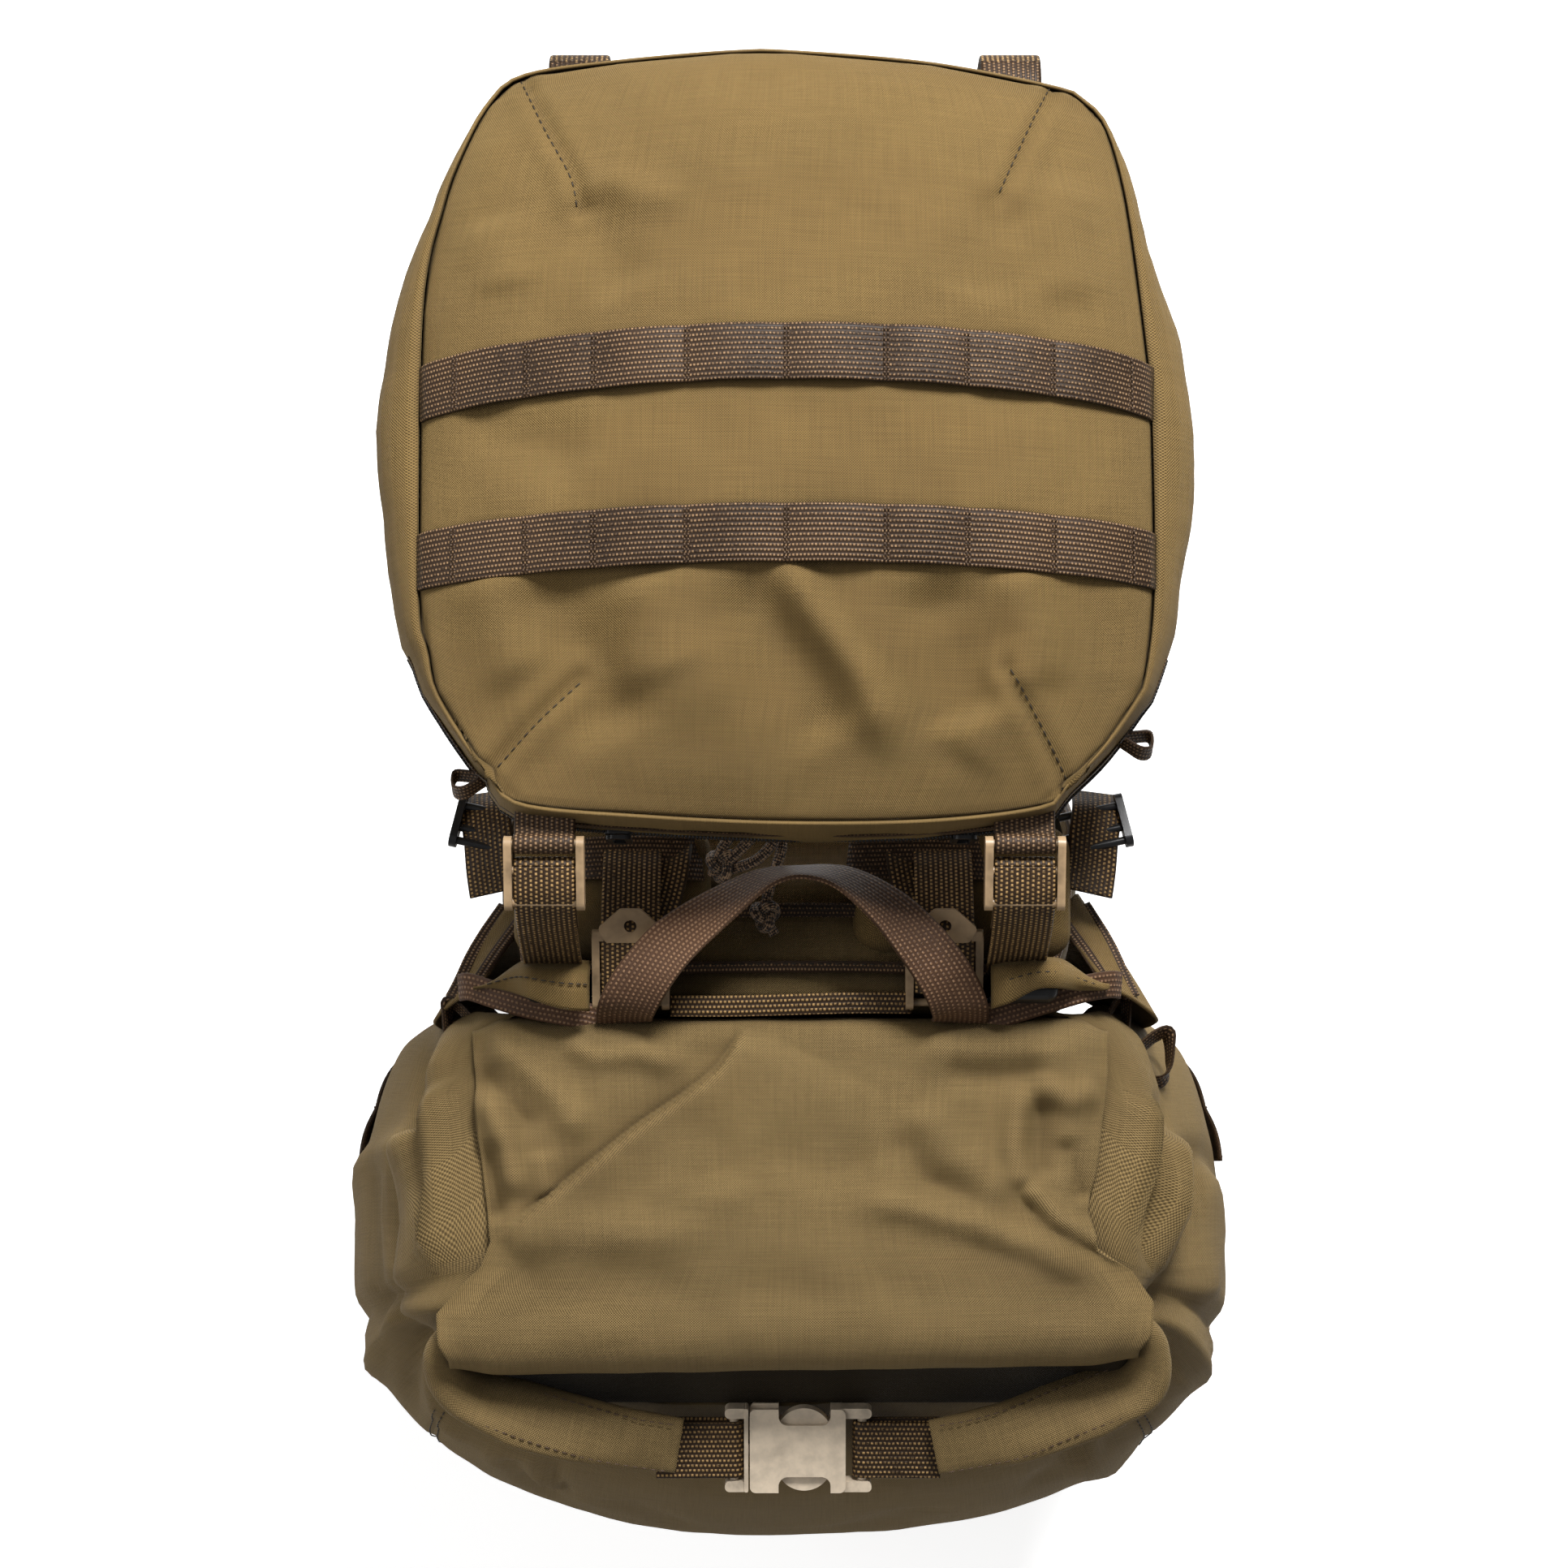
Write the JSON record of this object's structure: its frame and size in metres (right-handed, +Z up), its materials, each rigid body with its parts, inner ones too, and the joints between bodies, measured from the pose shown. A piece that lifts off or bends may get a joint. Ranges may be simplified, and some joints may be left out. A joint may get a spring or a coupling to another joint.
{
  "type": "hunting backpack",
  "caption": "Roll-top hunting backpack on an internal frame, with a buckled collar, a hooded lid thrown back on its straps, padded shoulder straps and a folding hip belt.",
  "frame": {"origin": "on the ground under the flat base, on the pack's centre line, 9 mm in front of the middle of its depth", "axes": "+Z up; -Y the front, where the roll-top is buckled; +Y the wearer's side with the harness; +X the right-hand side seen from the front"},
  "size_m": [0.4234, 0.6344, 0.7492],
  "materials": {
    "fabric": "matt olive-tan plain weave, polyurethane coated inside",
    "fabric_inner": "matt olive-tan plain weave and spacer mesh over foam",
    "webbing": "woven dark brown nylon webbing with tan flecks",
    "cord": "braided cord, brown with tan flecks",
    "tan_plastic": "satin moulded tan plastic",
    "black_plastic": "satin black moulded plastic",
    "aluminium": "bare flat bar"
  },
  "bodies": {
    "pack": {"front_panel": "fabric", "side_panels": "fabric", "back_panel": "fabric", "base_panel": "fabric_inner", "mouth_binding": "webbing", "frame_stays": "aluminium", "stay_caps": "black_plastic", "frame_sheet": "black_plastic", "frame_pocket": "fabric", "hook_strip": "webbing", "back_pads": "fabric_inner", "yoke_pads": "fabric", "shoulder_webs": "webbing", "load_lifter_webs": "webbing", "stabiliser_ladderlocks": "black_plastic", "lid_rear_straps": "webbing", "lid_rear_buckles": "tan_plastic", "drawcord": "cord", "side_webbing": "webbing", "side_buckles": "tan_plastic"},
    "roll_top": {"roll_collar": "fabric", "roll_hem": "fabric", "roll_flaps": "fabric", "roll_web_right": "webbing", "roll_buckle_female": "tan_plastic"},
    "roll_male": {"roll_buckle_male": "tan_plastic", "roll_web_left": "webbing"},
    "roll_arm_front": {"roll_buckle_arm_front": "tan_plastic"},
    "roll_arm_rear": {"roll_buckle_arm_rear": "tan_plastic"},
    "lid": {"lid_top_panel": "fabric", "lid_gusset": "fabric", "lid_underside": "fabric_inner", "lid_pals": "webbing", "lid_zip_track": "black_plastic", "lid_edge_webs": "webbing"},
    "zip_pull_left": {"lid_zip_slider_left": "black_plastic"},
    "zip_pull_right": {"lid_zip_slider_right": "black_plastic"},
    "lid_buckle_left": {"lid_front_web_left": "webbing", "lid_front_buckle_left": "tan_plastic"},
    "lid_buckle_right": {"lid_front_web_right": "webbing", "lid_front_buckle_right": "tan_plastic"},
    "handle": {"grab_handle": "webbing"},
    "lifter_left": {"lifter_ladderlock_left": "tan_plastic"},
    "lifter_right": {"lifter_ladderlock_right": "tan_plastic"},
    "strap_left": {"shoulder_strap_left": "fabric", "strap_ladderlock_left": "black_plastic"},
    "strap_right": {"shoulder_strap_right": "fabric", "strap_ladderlock_right": "black_plastic"},
    "sternum_half_left": {"sternum_left": "black_plastic"},
    "sternum_half_right": {"sternum_right": "black_plastic"},
    "hip_left": {"hip_wing_left": "fabric_inner", "hip_web_left": "webbing", "hip_buckle_male": "black_plastic"},
    "hip_right": {"hip_wing_right": "fabric_inner", "hip_web_right": "webbing", "hip_buckle_female": "black_plastic"},
    "side_male_ul": {"side_male_upper_left": "tan_plastic"},
    "side_male_ur": {"side_male_upper_right": "tan_plastic"},
    "side_male_ll": {"side_male_lower_left": "tan_plastic"},
    "side_male_lr": {"side_male_lower_right": "tan_plastic"}
  },
  "joints": [
    {"name": "lid_swing", "type": "hinge", "parent": "pack", "child": "lid", "pos_m": [0, 0.18, 0.708], "axis": [-1, 0, 0], "range_deg": [-180, 0]},
    {"name": "roll_top_lift", "type": "hinge", "parent": "pack", "child": "roll_top", "pos_m": [0, 0.107, 0.643], "axis": [-1, 0, 0], "range_deg": [0, 60]},
    {"name": "roll_buckle_release", "type": "slide", "parent": "roll_top", "child": "roll_male", "axis": [-1, 0, 0], "range_m": [0, 0.025]},
    {"name": "roll_arm_front_flex", "type": "hinge", "parent": "roll_male", "child": "roll_arm_front", "pos_m": [-0.0178, -0.07569, 0.59446], "axis": [0, -0.2419, 0.9703], "range_deg": [0, 8]},
    {"name": "roll_arm_rear_flex", "type": "hinge", "parent": "roll_male", "child": "roll_arm_rear", "pos_m": [-0.0178, -0.05531, 0.59954], "axis": [0, 0.2419, -0.9703], "range_deg": [0, 8]},
    {"name": "zip_pull_left_slide", "type": "slide", "parent": "lid", "child": "zip_pull_left", "axis": [1, 0, 0], "range_m": [0, 0.06]},
    {"name": "zip_pull_right_slide", "type": "slide", "parent": "lid", "child": "zip_pull_right", "axis": [-1, 0, 0], "range_m": [0, 0.06]},
    {"name": "lid_buckle_left_swing", "type": "hinge", "parent": "lid", "child": "lid_buckle_left", "pos_m": [-0.088, 0.506, 0.69], "axis": [-1, 0, 0], "range_deg": [-165, 0]},
    {"name": "lid_buckle_right_swing", "type": "hinge", "parent": "lid", "child": "lid_buckle_right", "pos_m": [0.091, 0.506, 0.69], "axis": [-1, 0, 0], "range_deg": [-165, 0]},
    {"name": "handle_lift", "type": "hinge", "parent": "pack", "child": "handle", "pos_m": [0.003, 0.1135, 0.65], "axis": [1, 0, 0], "range_deg": [0, 60]},
    {"name": "lifter_left_tilt", "type": "hinge", "parent": "pack", "child": "lifter_left", "pos_m": [-0.0665, 0.1205, 0.6435], "axis": [1, 0, 0], "range_deg": [0, 12]},
    {"name": "lifter_right_tilt", "type": "hinge", "parent": "pack", "child": "lifter_right", "pos_m": [0.0635, 0.1205, 0.6435], "axis": [1, 0, 0], "range_deg": [0, 12]},
    {"name": "strap_left_swing", "type": "hinge", "parent": "pack", "child": "strap_left", "pos_m": [-0.08, 0.155, 0.566], "axis": [1, 0, 0], "range_deg": [0, 14]},
    {"name": "strap_right_swing", "type": "hinge", "parent": "pack", "child": "strap_right", "pos_m": [0.08, 0.155, 0.566], "axis": [1, 0, 0], "range_deg": [0, 14]},
    {"name": "sternum_left_slide", "type": "slide", "parent": "strap_left", "child": "sternum_half_left", "axis": [0, 0.0872, 0.9962], "range_m": [-0.02, 0.02]},
    {"name": "sternum_right_slide", "type": "slide", "parent": "strap_right", "child": "sternum_half_right", "axis": [0, 0.0872, 0.9962], "range_m": [-0.02, 0.02]},
    {"name": "hip_left_fold", "type": "hinge", "parent": "pack", "child": "hip_left", "pos_m": [-0.118, 0.141, 0.052], "axis": [0, 0, 1], "range_deg": [0, 30]},
    {"name": "hip_right_fold", "type": "hinge", "parent": "pack", "child": "hip_right", "pos_m": [0.118, 0.141, 0.052], "axis": [0, 0, -1], "range_deg": [0, 30]},
    {"name": "side_buckle_ul_release", "type": "slide", "parent": "pack", "child": "side_male_ul", "axis": [0, 1, 0], "range_m": [0, 0.025]},
    {"name": "side_buckle_ur_release", "type": "slide", "parent": "pack", "child": "side_male_ur", "axis": [0, 1, 0], "range_m": [0, 0.025]},
    {"name": "side_buckle_ll_release", "type": "slide", "parent": "pack", "child": "side_male_ll", "axis": [0, 1, 0], "range_m": [0, 0.025]},
    {"name": "side_buckle_lr_release", "type": "slide", "parent": "pack", "child": "side_male_lr", "axis": [0, 1, 0], "range_m": [0, 0.025]}
  ],
  "couplings": [
    {"joint": "roll_arm_front_flex", "follows": "roll_buckle_release", "rad_per_m": 5.5849},
    {"joint": "roll_arm_rear_flex", "follows": "roll_buckle_release", "rad_per_m": 5.5849}
  ]
}
